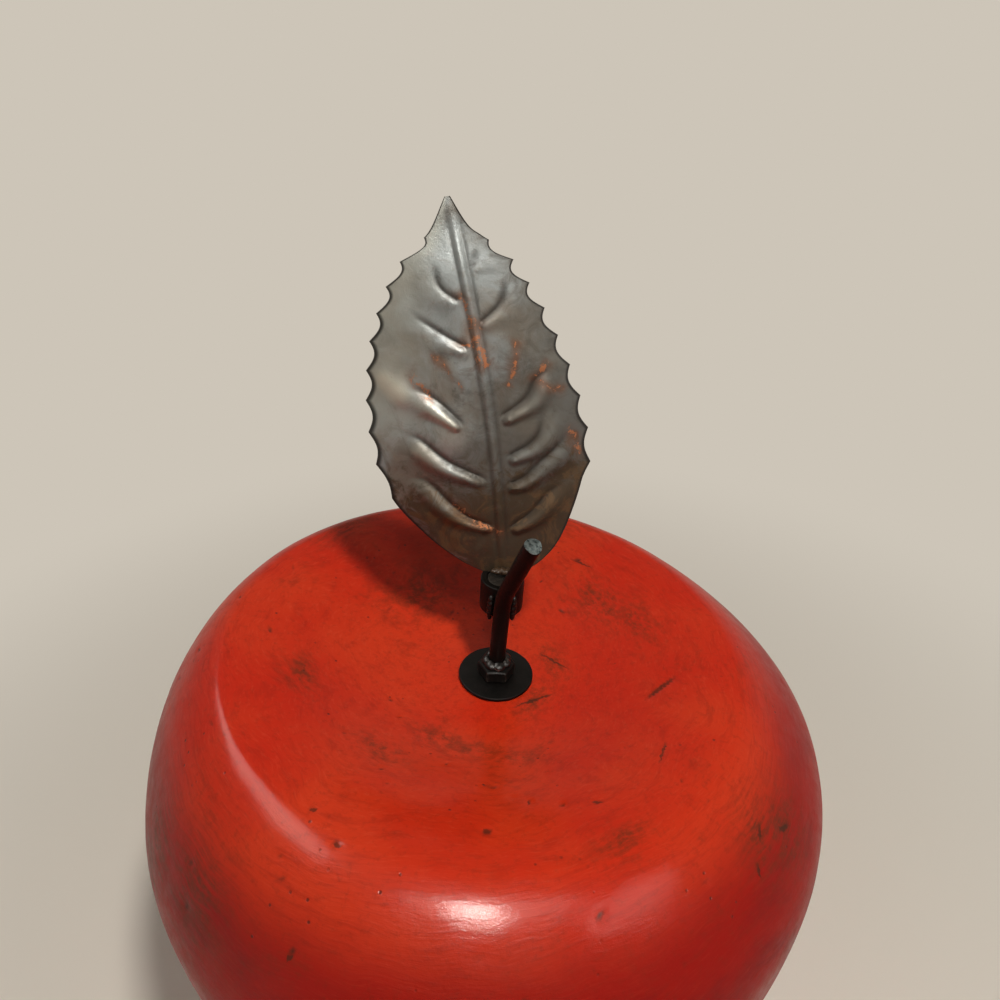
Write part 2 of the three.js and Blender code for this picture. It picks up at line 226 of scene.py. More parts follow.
# Side veins, each by points from the midrib out: millimetres along the blade and from the midrib
LEFT_VEINS = [
    [[107, 3], [113, 8.5], [121, 9]],
    [[91, 3], [99, 13], [107, 22]],
    [[64, 9], [75, 18], [81, 27]],
    [[41, 2.5], [50, 16], [60, 26], [62, 33]],
    [[21, 1.5], [26, 11.5], [33, 18], [43, 26.5], [45, 37]],
]
RIGHT_VEINS = [
    [[117, 2], [120, 4], [123, 6]],
    [[99, 1], [105, 9.5], [113, 13]],
    [[65, 3], [71, 13], [78, 18], [82, 25]],
    [[50, 4], [54, 12.5], [59, 17], [66, 18]],
    [[39, 3], [41, 10], [47, 17], [53, 24], [58, 28]],
    [[20, 3], [26, 12], [33, 19], [38, 28]],
]
# Broad swells of the blade: millimetres along it and from the midrib, reach, height
LEAF_SWELLS = [
    [83, -36, 4, 1.5], [78, -31, 5, 1.9], [61, -14, 9, 1.2],
    [84, 22, 10, 0.9], [58, 14, 8, 0.7], [112, -8, 9, 0.5],
]
# Copper-coloured rubs on the leaf, in millimetres: from one place to another, and how wide
LEAF_RUBS = [
    [[109, -2], [98, 0], 0.7], [[98, 0], [86, 1], 1.3], [[92, 2], [94, -5], 0.5],
    [[92, 13], [78, 9], 0.6], [[82, 22], [78, 17], 0.6], [[78, 17], [72, 26], 0.6],
    [[83, -24], [76, -20], 1], [[90, -16], [86, -12.5], 0.6], [[86, -12.5], [78, -8], 0.4],
    [[33, -16], [25, -10], 0.8], [[25, -10], [19, -1], 0.9], [[58, 28], [47, 31], 0.7],
]
RUB_WOBBLE = 0.0016
RUB_LUMPS = [0.005, 0.004, 0.003]

# Camera, as fitted to the photograph
CAMERA_PLACE = (0.00576, -0.2251, 0.42472)
CAMERA_PITCH = 31.218
CAMERA_LENS = 27.04
SENSOR_WIDTH = 36


# Shapes

def smoothstep(low, high, value):
    share = np.clip((value - low) / (high - low), 0, 1)
    return share * share * (3 - 2 * share)


def curve(corners, steps):
    """Points along a Bezier curve with three or four corners."""
    share = np.linspace(0, 1, steps + 1)[:, None]
    corners = [np.array(corner, float) for corner in corners]
    while len(corners) > 1:
        corners = [a + (b - a) * share for a, b in zip(corners, corners[1:])]
    return corners[0]


def half_wave(steps):
    along = np.linspace(0, 1, steps + 1)
    return along, 0.5 - 0.5 * np.cos(pi * along)


def full_turn(sides):
    return np.linspace(0, 2 * pi, sides, endpoint=False)


def lumps(points, size, seed):
    """Smooth noise from -1 to 1 at each point, with lumps of about that size."""
    flat = points.reshape(-1, 3) / size + seed
    return np.array([noise.noise(point) for point in flat]).reshape(points.shape[:-1])


def unit(vectors):
    """The vectors, each made one long."""
    return vectors / np.maximum(np.linalg.norm(vectors, axis=-1, keepdims=True), 1e-12)


def about_z(radius, turn, height):
    """Points about Z. Each of the three may be a number, a row, a column or a grid."""
    radius, turn, height = np.broadcast_arrays(radius, turn, height)
    return np.stack([radius * np.cos(turn), radius * np.sin(turn), height], axis=-1)


def grid_normals(points, closed=True):
    """Normals of a grid of points whose columns run round to the right and whose rows run up."""
    if closed:
        wrapped = np.concatenate([points[:, -1:], points, points[:, :1]], axis=1)
        across = (wrapped[:, 2:] - wrapped[:, :-2]) / 2
    else:
        across = np.gradient(points, axis=1)
    return unit(np.cross(across, np.gradient(points, axis=0)))


def grid_faces(rows, columns, closed=True):
    faces = []
    for row in range(rows - 1):
        for column in range(columns if closed else columns - 1):
            here = row * columns + column
            after = row * columns + (column + 1) % columns
            faces.append((here, after, after + columns, here + columns))
    return faces


def capped(points, bottom, top):
    """A grid of closed rings with a point at its bottom and one at its top, as points and faces."""
    rows, columns = points.shape[:2]
    faces = grid_faces(rows, columns)
    low = rows * columns
    last = (rows - 1) * columns
    for column in range(columns):
        after = (column + 1) % columns
        faces.append((low, after, column))
        faces.append((last + column, last + after, low + 1))
    return np.vstack([points.reshape(-1, 3), bottom, top]), faces


def looped(points):
    """A grid of closed rings whose last ring joins the first, as points and faces."""
    rows, columns = points.shape[:2]
    joined = grid_faces(rows + 1, columns)
    count = rows * columns
    return points.reshape(-1, 3), [tuple(index % count for index in face) for face in joined]


def turned(profile, sides):
    """Rings of points about Z from rows of radius and height."""
    profile = np.array(profile, float)
    return about_z(profile[:, :1], full_turn(sides), profile[:, 1:])


def rounded(corners, steps=4):
    """A closed profile with each corner [radius, height, rounding] turned into a short arc."""
    corners = np.array(corners, float)
    points = []
    for index, (radius, height, size) in enumerate(corners):
        here = np.array([radius, height])
        start = here + unit(corners[index - 1, :2] - here) * size
        end = here + unit(corners[(index + 1) % len(corners), :2] - here) * size
        points.extend(curve([start, here, end], steps))
    return points


def ring_profile(bore, radius, bottom, top, edge):
    """Profile of a ring whose corners are rounded, less so in the bore."""
    return rounded([
        [bore, bottom, edge / 2], [radius, bottom, edge], [radius, top, edge], [bore, top, edge / 2],
    ])


def slant_share(height):
    return smoothstep(EQUATOR_HEIGHT + SLANT_MARGIN, RIDGE_HEIGHT, height)


SEAT_SLANT = TOP_SLANT * float(slant_share(SEAT_HEIGHT))


def on_stem(points):
    """From the stem's frame to the part's."""
    tilt = atan(SEAT_SLANT)
    x, y, z = np.moveaxis(np.array(points, float), -1, 0)
    return np.stack([
        x * cos(tilt) + z * sin(tilt) + STEM_OFFSET,
        y,
        z * cos(tilt) - x * sin(tilt) + SEAT_HEIGHT - SEAT_SLANT * STEM_OFFSET,
    ], axis=-1)


def capped_on_stem(rings, bottom, top):
    return capped(on_stem(rings), on_stem(bottom), on_stem(top))


def new_object(name, data):
    thing = bpy.data.objects.new(name, data)
    bpy.context.scene.collection.objects.link(thing)
    return thing


def add_piece(name, shape, materials, body, attributes=None, sharp=40):
    """Adds a mesh that stands for the CAD node of the same name."""
    points, faces = shape
    mesh = bpy.data.meshes.new(name + "_mesh")
    mesh.from_pydata([tuple(point) for point in points], [], faces)
    mesh.shade_smooth()
    mesh.set_sharp_from_angle(angle=radians(sharp))
    for key, values in (attributes or {}).items():
        attribute = mesh.attributes.new(key, "FLOAT", "POINT")
        attribute.data.foreach_set("value", np.asarray(values, np.float32).ravel())
    for material in materials:
        mesh.materials.append(material)
    piece = new_object(name + "_piece", mesh)
    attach(piece, body)
    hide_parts(name)
    return piece


# Apple

def apple_profile():
    """Radius and height from beside the middle of the calyx hollow out, up and in to the seat."""
    along, fall = half_wave(CALYX_RINGS)
    calyx = np.stack([BASE_INNER_RADIUS * along, CALYX_DEPTH * (1 - fall)], axis=-1)[1:]
    base = np.linspace([BASE_INNER_RADIUS, 0], [BASE_OUTER_RADIUS, 0], BASE_RINGS + 1)[1:]
    belly = curve([
        [BASE_OUTER_RADIUS, 0],
        [BASE_OUTER_RADIUS + BELLY_RUN, 0],
        [APPLE_RADIUS, EQUATOR_HEIGHT - BELLY_DROP],
        [APPLE_RADIUS, EQUATOR_HEIGHT],
    ], BELLY_RINGS)[1:]
    shoulder = curve([
        [APPLE_RADIUS, EQUATOR_HEIGHT],
        [APPLE_RADIUS, EQUATOR_HEIGHT + SHOULDER_RISE],
        [RIDGE_RADIUS + SHOULDER_RUN, RIDGE_HEIGHT],
        [RIDGE_RADIUS, RIDGE_HEIGHT],
    ], SHOULDER_RINGS)[1:]
    along, fall = half_wave(DISH_RINGS)
    dish = np.stack([
        RIDGE_RADIUS + (SEAT_RADIUS - RIDGE_RADIUS) * along,
        RIDGE_HEIGHT + (SEAT_HEIGHT - RIDGE_HEIGHT) * fall,
    ], axis=-1)[1:]
    return np.concatenate([calyx, base, belly, shoulder, dish])


def seat_rings():
    """Rings from the edge of the flat seat in to the screw hole, which is off the apple's middle."""
    share = np.linspace(0, 1, SEAT_RINGS + 1)[1:, None]
    radius = SEAT_RADIUS + (SHANK_RADIUS + GAP - SEAT_RADIUS) * share
    rings = about_z(radius, full_turn(APPLE_SIDES), SEAT_HEIGHT)
    rings[..., 0] += STEM_OFFSET * smoothstep(0, 1, share)
    return rings


def pits():
    """Small random pits, as marks that are as long as they are wide or a little longer."""
    random = np.random.default_rng(7)
    marks = []
    for _ in range(PIT_COUNT):
        turn = random.uniform(0, 2 * pi)
        radius = APPLE_RADIUS * sqrt(random.uniform(0.05, 1))
        width = random.uniform(*PIT_SIZES)
        length = width * random.choice([1, 1.4, 3])
        heading = degrees(turn) + 90 + random.uniform(-35, 35)
        depth = PIT_DEPTH * random.uniform(0.4, 1)
        marks.append([radius * cos(turn), radius * sin(turn), heading, length, width, depth])
    return marks


def along_across(points, x, y, turn):
    """How far each point is from a place, along a heading and to the left of it."""
    east = points[..., 0] - x
    north = points[..., 1] - y
    along = east * cos(turn) + north * sin(turn)
    return along, north * cos(turn) - east * sin(turn)


def mark_depth(points, marks):
    """Depth of the marks at each point of the apple's top."""
    depth = np.zeros(points.shape[:-1])
    for x, y, heading, length, width, deepest in marks:
        along, across = along_across(points, x, y, radians(heading))
        near = np.exp(-(2 * along / length) ** 4 - (2 * across / width) ** 2)
        depth = np.maximum(depth, deepest * near)
    return depth * (points[..., 2] > EQUATOR_HEIGHT)


def wash_and_shadow_share(points):
    """How thick the brown wash and the painted shadow of the leaf lie at each point of the apple's top.
    """
    share = np.zeros(points.shape[:-1])
    for x, y, along_reach, across_reach in WASHES_AND_LEAF_SHADOW:
        across, along = along_across(points, x, y, atan2(y, x))
        share = np.maximum(share, np.exp(-(along / along_reach) ** 2 - (across / across_reach) ** 2))
    return share * (points[..., 2] > EQUATOR_HEIGHT)


def apple_body(material):
    points = np.concatenate([turned(apple_profile(), APPLE_SIDES), seat_rings()])
    points[..., 2] -= TOP_SLANT * slant_share(points[..., 2]) * points[..., 0]
    normals = grid_normals(points)
    from_washer = np.hypot(points[..., 0] - STEM_OFFSET, points[..., 1]) - WASHER_RADIUS
    carved = np.where(points[..., 2] < SEAT_HEIGHT / 2, 1, smoothstep(0, CARVING_FADE, from_washer))
    carved = carved * smoothstep(UNCARVED_BASE, CARVING_FADE, points[..., 2])
    hollow = np.zeros(points.shape[:-1])
    for seed, (size, depth) in enumerate(CARVING):
        hollow += depth * (0.5 - 0.5 * lumps(points, size, seed * 10)) * carved
    marks = mark_depth(points, [*MARKS, *pits()]) * carved
    points = points - normals * (hollow + marks)[..., None]
    hole_radius = SHANK_RADIUS + GAP
    hole = on_stem(turned([[hole_radius, -HOLE_LIP], [hole_radius, SCREW_TIP - GAP]], APPLE_SIDES))
    top = on_stem([0, 0, SCREW_TIP - GAP])
    shape = capped(np.concatenate([points, hole]), [0, 0, CALYX_DEPTH], top)
    inside = np.zeros(2 * APPLE_SIDES + 2)
    attributes = {
        "worn": np.concatenate([(marks / PIT_DEPTH).ravel(), inside]),
        "wash_and_shadow": np.concatenate([wash_and_shadow_share(points).ravel(), inside]),
    }
    add_piece("apple_body", shape, [material], "apple", attributes)


# Washer and coach screw

WASHER_TOP = GAP + WASHER_THICKNESS
HEAD_BOTTOM = WASHER_TOP + GAP
HEAD_TOP = HEAD_BOTTOM + HEAD_HEIGHT
THREAD_TOP = HEAD_BOTTOM - SHANK_LENGTH
THREAD_BOTTOM = THREAD_TOP - THREAD_PITCH * THREAD_TURNS
SCREW_TIP = THREAD_BOTTOM - TIP_LENGTH


def washer(material):
    profile = ring_profile(WASHER_BORE, WASHER_RADIUS, GAP, WASHER_TOP, WASHER_EDGE)
    shape = looped(on_stem(turned(profile, RING_SIDES)))
    add_piece("washer", shape, [material], "washer_ring")


def screw_rows():
    """Rings of the shank and its right-hand thread, from the tip up."""
    turn = full_turn(SCREW_SIDES)
    rows = round((THREAD_TOP - SCREW_TIP) / THREAD_PITCH * ROWS_PER_PITCH)
    height = np.linspace(SCREW_TIP, THREAD_TOP, rows)[1:, None]
    core = CORE_RADIUS * np.clip((height - SCREW_TIP) / TIP_LENGTH, TIP_BLUNTNESS, 1)
    turns_up = (height - THREAD_BOTTOM) / THREAD_PITCH - turn / (2 * pi)
    from_crest = np.abs(turns_up - np.round(turns_up)) * THREAD_PITCH
    tooth = np.clip((THREAD_ROOT / 2 - from_crest) / (THREAD_ROOT / 2 - THREAD_CREST / 2), 0, 1)
    ends = smoothstep(THREAD_BOTTOM - TIP_LENGTH / 2, THREAD_BOTTOM, height)
    radius = core + (SHANK_RADIUS - CORE_RADIUS) * tooth * ends
    thread = about_z(radius, turn, height)
    shoulder = THREAD_TOP + SHANK_RADIUS - CORE_RADIUS
    shank = turned([[SHANK_RADIUS, shoulder], [SHANK_RADIUS, HEAD_BOTTOM]], SCREW_SIDES)
    return np.concatenate([thread, shank])


def head_rows():
    """Rings of the hex head, which is chamfered round its top."""
    turn = full_turn(SCREW_SIDES)
    sector = pi / 3
    hexagon = HEAD_FLATS / 2 / np.cos((turn % sector) - sector / 2)
    flat = HEAD_FLATS / 2 - HEAD_CHAMFER
    steep = HEAD_CHAMFER / (HEAD_FLATS / sqrt(3) + HEAD_CHAMFER - flat)
    crown = HEAD_TOP - (hexagon - flat) * steep
    edge = WASHER_EDGE
    rows = [
        [hexagon - edge, HEAD_BOTTOM],
        [hexagon, HEAD_BOTTOM + edge],
        [hexagon, crown - edge],
        [hexagon - edge / 2, crown - edge / 3],
        [hexagon - edge, crown + edge * steep],
        [flat, HEAD_TOP],
        [flat / 2, HEAD_TOP],
    ]
    return np.array([about_z(radius, turn, height) for radius, height in rows])


def coach_screw(material):
    rings = np.concatenate([screw_rows(), head_rows()])
    shape = capped_on_stem(rings, [0, 0, SCREW_TIP], [0, 0, HEAD_TOP])
    add_piece("coach_screw", shape, [material], "stem", sharp=30)


# Stem

ROD_FOOT = np.array([0, 0, HEAD_TOP + GAP])
LOWER_LEG = np.array([tan(radians(ROD_LOWER_LEAN)), 0, 1])
LEAN_X = tan(radians(ROD_LEAN_RIGHT))
LEAN_Y = -tan(radians(ROD_LEAN_FORWARD))
UPPER_LEG = unit(np.array([LEAN_X, LEAN_Y, 1]))


def lower_leg_at(height):
    return ROD_FOOT + LOWER_LEG * (height - ROD_FOOT[2])


def rod_path():
    bend = lower_leg_at(ROD_BEND_HEIGHT)
    before = lower_leg_at(ROD_BEND_HEIGHT - ROD_BEND_REACH)
    after = bend + UPPER_LEG * ROD_BEND_REACH
    end = bend + UPPER_LEG * ROD_UPPER_LENGTH
    lower, bent, upper = ROD_RINGS
    return np.concatenate([
        np.linspace(ROD_FOOT, before, lower)[:-1],
        curve([before, bend, after], bent)[:-1],
        np.linspace(after, end, upper),
    ])


def stem_rod(paint, bare):
    """A bent bar whose end is nipped off, which leaves two bare faces that meet in a ridge."""
    path = rod_path()
    ways = unit(np.gradient(path, axis=0))
    side = unit(np.cross(LOWER_LEG, UPPER_LEG))
    turn = full_turn(ROD_SIDES)

    def ring(middle, way, radius):
        other = np.cross(way, side)
        return middle + radius * (np.cos(turn)[:, None] * side + np.sin(turn)[:, None] * other)

    rings = [ring(path[0], ways[0], ROD_RADIUS * share) for share in FOOT_SHARES]
    rings += [ring(middle, way, ROD_RADIUS) for middle, way in zip(path[1:-1], ways[1:-1])]
    facing = Vector((0, 0, 1)).rotation_difference(Vector(UPPER_LEG))
    ridge = facing @ Vector((cos(radians(CUT_TURN)), sin(radians(CUT_TURN)), 0))
    ridge_turn = atan2(np.dot(ridge, np.cross(UPPER_LEG, side)), np.dot(ridge, side))
    slope = tan(radians(CUT_ANGLE))
    for share in CUT_SHARES:
        drop = slope * ROD_RADIUS * share * np.abs(np.sin(turn - ridge_turn))
        burr = CUT_BURR * (share == 1)
        flat = ring(path[-1], UPPER_LEG, ROD_RADIUS * min(share, CUT_EDGE))
        rings.append(flat - (drop + burr)[:, None] * UPPER_LEG)
    rings = np.array(rings)
    dents = lumps(rings, ROD_DENT_SIZE, 3) * ROD_DENTS
    dented = slice(len(FOOT_SHARES), -len(CUT_SHARES))
    rings[dented] += (grid_normals(rings) * dents[..., None])[dented]
    shape = capped_on_stem(rings, path[0], path[-1])
    piece = add_piece("stem_rod", shape, [paint, bare], "stem", sharp=35)
    bare_from = (len(rings) - len(CUT_SHARES)) * ROD_SIDES
    for face in piece.data.polygons:
        if min(face.vertices) >= bare_from:
            face.material_index = 1


def stem_weld(material):
    """A ring of weld dabs round the foot of the bar."""
    inner = ROD_RADIUS + GAP
    bottom = HEAD_TOP + GAP
    section = [[0, 0], [1, 0], [1, 0.2], [0.88, 0.5], [0.6, 0.8], [0.25, 0.97], [0, 1], [0, 0.5]]
    profile = [[inner + r * STEM_WELD_REACH, bottom + h * STEM_WELD_HEIGHT] for r, h in section]
    rings = turned(profile, RING_SIDES)
    dabs = np.abs(np.sin(STEM_WELD_DABS * full_turn(RING_SIDES) / 2))
    rough = 1 - DAB_ROUGHNESS * (0.5 + 0.5 * lumps(rings, WELD_LUMP, 5))
    size = (1 - DAB_DEPTH + DAB_DEPTH * dabs) * rough
    out = np.hypot(rings[..., 0], rings[..., 1])
    shrunk = (inner + (out - inner) * size) / out
    rings[..., :2] *= shrunk[..., None]
    rings[..., 2] = bottom + (rings[..., 2] - bottom) * size
    add_piece("stem_weld", looped(on_stem(rings)), [material], "stem", sharp=60)


# Leaf socket and weld beads

SOCKET_TOP = SOCKET_FOOT + SOCKET_HEIGHT
SOCKET_SIDE = lower_leg_at(SOCKET_FOOT + SOCKET_HEIGHT / 2)[0]
SOCKET_BACK = ROD_RADIUS + GAP + SOCKET_RADIUS
SOCKET_MIDDLE = np.array([SOCKET_SIDE, SOCKET_BACK, 0])


def leaf_socket(material):
    profile = ring_profile(SOCKET_BORE, SOCKET_RADIUS, SOCKET_FOOT, SOCKET_TOP, SOCKET_EDGE)
    shape = looped(on_stem(turned(profile, RING_SIDES) + SOCKET_MIDDLE))
    add_piece("leaf_socket", shape, [material], "stem", sharp=50)


def leaf_plug(material):
    radius = SOCKET_BORE - GAP
    bottom = SOCKET_TOP - PLUG_LENGTH
    side = [
        [radius / 2, bottom], [radius - PLUG_EDGE, bottom],
        [radius, bottom + PLUG_EDGE], [radius, SOCKET_TOP - PLUG_EDGE],
    ]
    shares = np.arange(PLUG_TOP_RINGS) * PLUG_TOP_STEP
    top = [[radius - PLUG_EDGE - share * radius, SOCKET_TOP] for share in shares]
    rings = turned(side + top, RING_SIDES)
    crumpled = rings[len(side):]
    crumpled[..., 2] -= PLUG_CRUMPLE * (0.5 + 0.5 * lumps(crumpled, WELD_LUMP, 8))
    ends = [SOCKET_MIDDLE + np.array([0, 0, height]) for height in (bottom, SOCKET_TOP)]
    shape = capped_on_stem(rings + SOCKET_MIDDLE, *ends)
    dark = {"edge": np.full(len(shape[0]), PLUG_SHADE)}
    add_piece("leaf_plug", shape, [material], "leaf", dark, sharp=30)


def bead(radius, length, roughness, seed):
    """Rings of a weld bead along Z, made of overlapping dabs of weld metal."""
    dabs = round(length / WELD_RIPPLE)
    steps = dabs * RINGS_PER_DAB
    along = np.linspace(0, 1, steps + 1)[1:-1]
    ends = np.sin(pi * along) ** 0.4
    ripple = 1 - RIPPLE_DEPTH + RIPPLE_DEPTH * np.abs(np.sin(pi * dabs * along)) ** 0.6
    rings = turned(np.stack([radius * ends * ripple, (along - 0.5) * length], axis=-1), BEAD_SIDES)
    rough = 1 - roughness * (0.5 + 0.5 * lumps(rings, radius * 0.9, seed))
    rings[..., :2] *= rough[..., None]
    return rings, length / 2


def socket_weld(name, side, material):
    """A bead lies in the valley between the bar and the socket, just clear of both."""
    radius, length = SOCKET_WELD
    to_rod = ROD_RADIUS + GAP + radius
    to_socket = SOCKET_RADIUS + GAP + radius
    back = (to_rod ** 2 - to_socket ** 2 + SOCKET_BACK ** 2) / (2 * SOCKET_BACK)
    out = sqrt(to_rod ** 2 - back ** 2)
    middle = lower_leg_at(min(SOCKET_FOOT + SOCKET_HEIGHT / 2, ROD_BEND_HEIGHT - ROD_BEND_REACH))
    rings, end = bead(radius, length, roughness=0.2, seed=20 + side)
    place = middle + np.array([side * out, back, 0])
    rings = rings + place + rings[..., 2:] * LOWER_LEG * [1, 1, 0]
    tips = [place + LOWER_LEG * height for height in (-end, end)]
    add_piece(name, capped_on_stem(rings, *tips), [material], "stem", sharp=60)


# Leaf

BLADE_FOOT = SOCKET_TOP + GAP
BLADE_PLANE = SOCKET_BACK + LEAF_SET_BACK


def leaf_weld(name, size, side, material):
    """A bead across the foot of the blade, on top of the plug."""
    radius, length = size
    rings, end = bead(radius, length, roughness=0.3, seed=40 + side)
    back = BLADE_PLANE + side * (LEAF_THICKNESS / 2 + GAP + radius)
    place = np.array([SOCKET_SIDE, back, BLADE_FOOT + radius])
    lying = np.stack([rings[..., 2], rings[..., 1], -rings[..., 0]], axis=-1) + place
    tips = [place + np.array([across, 0, 0]) for across in (-end, end)]
    add_piece(name, capped_on_stem(lying, *tips), [material], "leaf", sharp=60)


def smooth_curve(points, steps=20):
    """Points along a smooth curve through the given ones."""
    points = np.array(points, float)
    ghost = np.vstack([2 * points[0] - points[1], points, 2 * points[-1] - points[-2]])
    share = np.linspace(0, 1, steps, endpoint=False)[:, None]
    runs = []
    for a, b, c, d in zip(ghost, ghost[1:], ghost[2:], ghost[3:]):
        bend = (2 * a - 5 * b + 4 * c - d) * share ** 2 + (3 * b - a - 3 * c + d) * share ** 3
        runs.append(b + 0.5 * ((c - a) * share + bend))
    return np.vstack(runs + [points[-1:]])


def leaf_rows():
    """Place along the blade of each row of points, and the tooth that it lies on."""
    foot = np.linspace(0, TOOTH_FREE_FOOT, FOOT_ROWS, endpoint=False)
    tooth = np.linspace(0, TEETH - 1, (TEETH - 1) * ROWS_PER_TOOTH + 1)
    share = tooth / (TEETH - 1)
    spread = (1 + TOOTH_THINNING) * share - TOOTH_THINNING * share ** 2
    last = LEAF_LENGTH - TOOTH_FREE_TIP
    toothed = TOOTH_FREE_FOOT + (last - TOOTH_FREE_FOOT) * spread
    tip = np.linspace(last, LEAF_LENGTH - LEAF_LIP, TIP_ROWS + 1)[1:]
    places = np.concatenate([foot, toothed, tip])
    teeth = np.concatenate([np.zeros(FOOT_ROWS), tooth, np.full(TIP_ROWS, TEETH - 1)])
    return places, teeth


def scallops(teeth, shift):
    """Depth of the scallops between the teeth of one side, growing towards the tip."""
    shifted = teeth + shift
    inside = (shifted > 0) & (shifted < TEETH - 1)
    depth = TOOTH_DEPTH * (1 + TOOTH_DEEPENING * (shifted / (TEETH - 1)) ** 2)
    return depth * np.sin(pi * (shifted % 1)) * inside


def vein_relief(vein, place, out):
    """One vein: a crease, and a pillow that swells out of it and dies away towards the blade's foot."""
    points = smooth_curve(vein) * MM
    ways = unit(np.gradient(points, axis=0))
    offsets = np.stack([place, out], axis=-1)[..., None, :] - points
    nearest = np.argmin(np.linalg.norm(offsets, axis=-1), axis=-1)
    offset = np.take_along_axis(offsets, nearest[..., None, None], axis=-2)[..., 0, :]
    way = ways[nearest]
    gap = way[..., 0] * offset[..., 1] - way[..., 1] * offset[..., 0]
    share = nearest / (len(points) - 1)
    length = np.linalg.norm(points[-1] - points[0])
    strength = smoothstep(0, VEIN_FULL, share) * (1 - smoothstep(VEIN_FADE, 1, share))
    strength = strength * min(1, length / LONG_VEIN)
    narrowed = VEIN_NARROW + (1 - VEIN_NARROW) * smoothstep(0, VEIN_WIDEST, share)
    rise = np.maximum(gap, 0) / (VEIN_RISE * narrowed)
    calm = 1 - CALM_SHARE * smoothstep(*CALM_PLACES, place)
    pillow = calm * rise ** 2 * np.exp(1 - rise ** 2)
    crease = np.exp(-(gap / CREASE_WIDTH) ** 2)
    return pillow * strength, crease * strength


def leaf_relief(place, out, edge):
    """Height of the worked surface, how deep in a crease each point lies and how far it stands out."""
    flat = np.ones(place.shape)
    crease = np.zeros(place.shape)
    for side, veins in ((-1, LEFT_VEINS), (1, RIGHT_VEINS)):
        for vein in veins:
            pillow, line = vein_relief(vein, place, side * out)
            flat = flat * (1 - pillow)
            crease = np.maximum(crease, line)
    rib = np.exp(-(2 * out / MIDRIB_WIDTH) ** 2)
    beside = np.exp(-((np.abs(out) - MIDRIB_WIDTH) / (0.4 * MIDRIB_WIDTH)) ** 2)
    crease = np.maximum(crease, 0.5 * beside)
    height = np.maximum(VEIN_HEIGHT * (1 - flat), MIDRIB_HEIGHT * rib) - CREASE_DEPTH * crease
    raised = RAISED_SHARE * (1 - flat)
    for along, aside, reach, swell in LEAF_SWELLS:
        gap = np.hypot(place - along * MM, out - aside * MM) / (reach * MM)
        swollen = swell * np.exp(-gap ** 2)
        height = height + MM * swollen
        raised = raised + RAISED_SHARE * swollen
    fade = smoothstep(0, TOOTH_FREE_FOOT / 2, place) * (1 - np.abs(edge) ** 4)
    fade = fade * smoothstep(LEAF_LENGTH, LEAF_LENGTH - 2 * TOOTH_FREE_TIP, place)
    return height * fade, crease * fade, raised * (1 - 0.7 * crease)


def leaf_rubs(place, out):
    """1 along the middle of a rub, and less with distance from it."""
    rub = np.zeros(place.shape)
    for start, end, width in LEAF_RUBS:
        start, end = np.array(start) * MM, np.array(end) * MM
        run = end - start
        share = ((place - start[0]) * run[0] + (out - start[1]) * run[1]) / np.dot(run, run)
        share = np.clip(share, 0, 1)
        gap = np.hypot(place - start[0] - share * run[0], out - start[1] - share * run[1])
        rub = np.maximum(rub, np.exp(-gap / (width * MM)))
    return rub


def leaf_middle():
    """The blade's middle surface in the stem's frame, with what its material needs at each point."""
    places, teeth = leaf_rows()
    place = places[:, None]
    edge = np.linspace(-1, 1, LEAF_COLUMNS + 1)[None, :]
    outline = smooth_curve(LEAF_OUTLINE)
    half = LEAF_HALF_WIDTH * np.interp(places / LEAF_LENGTH, outline[:, 0], outline[:, 1])[:, None]
    cut = np.where(edge < 0, scallops(teeth, 0)[:, None], scallops(teeth, 0.5)[:, None])
    share = place / LEAF_LENGTH
    midrib = MIDRIB_SWAY * np.sin(pi * share)
    sway = BLADE_SWAY * np.sin(pi * share ** 1.5)
    across = edge * (half - cut * np.abs(edge)) + edge ** 2 * sway + (1 - edge ** 2) * midrib
    place = np.broadcast_to(place, across.shape)
    edge = np.broadcast_to(edge, across.shape)
    out = across - midrib
    relief, crease, raised = leaf_relief(place, out, edge)
    flat = np.stack([across, np.zeros_like(across), place], axis=-1)
    fade = smoothstep(*LEAF_DENTS_START, place)
    fade = fade * smoothstep(LEAF_LENGTH, LEAF_LENGTH - TOOTH_FREE_TIP, place)
    for seed, (size, depth) in enumerate(LEAF_DENTS):
        relief = relief + depth * lumps(flat, size, 60 + seed) * fade
    forward = relief - LEAF_CUP * (out / LEAF_HALF_WIDTH) ** 2 - LEAF_BOW * share ** 2
    lean = radians(LEAF_LEAN)
    turned_row = smoothstep(0, TOOTH_FREE_FOOT, place)
    points = np.stack([
        across * cos(lean) - place * sin(lean) + SOCKET_SIDE,
        BLADE_PLANE - forward,
        place * cos(lean) + turned_row * across * sin(lean) + BLADE_FOOT,
    ], axis=-1)
    along, aside, gaps = [lumps(flat, size, 70 + seed) for seed, size in enumerate(RUB_LUMPS)]
    rub = leaf_rubs(place + RUB_WOBBLE * along, out + RUB_WOBBLE * aside)
    rub = rub * np.clip(0.75 + 0.5 * gaps, 0, 1)
    attributes = {"rub": rub, "crease": crease, "raised": raised, "along": share, "edge": edge}
    return points, {key: np.broadcast_to(values, across.shape) for key, values in attributes.items()}


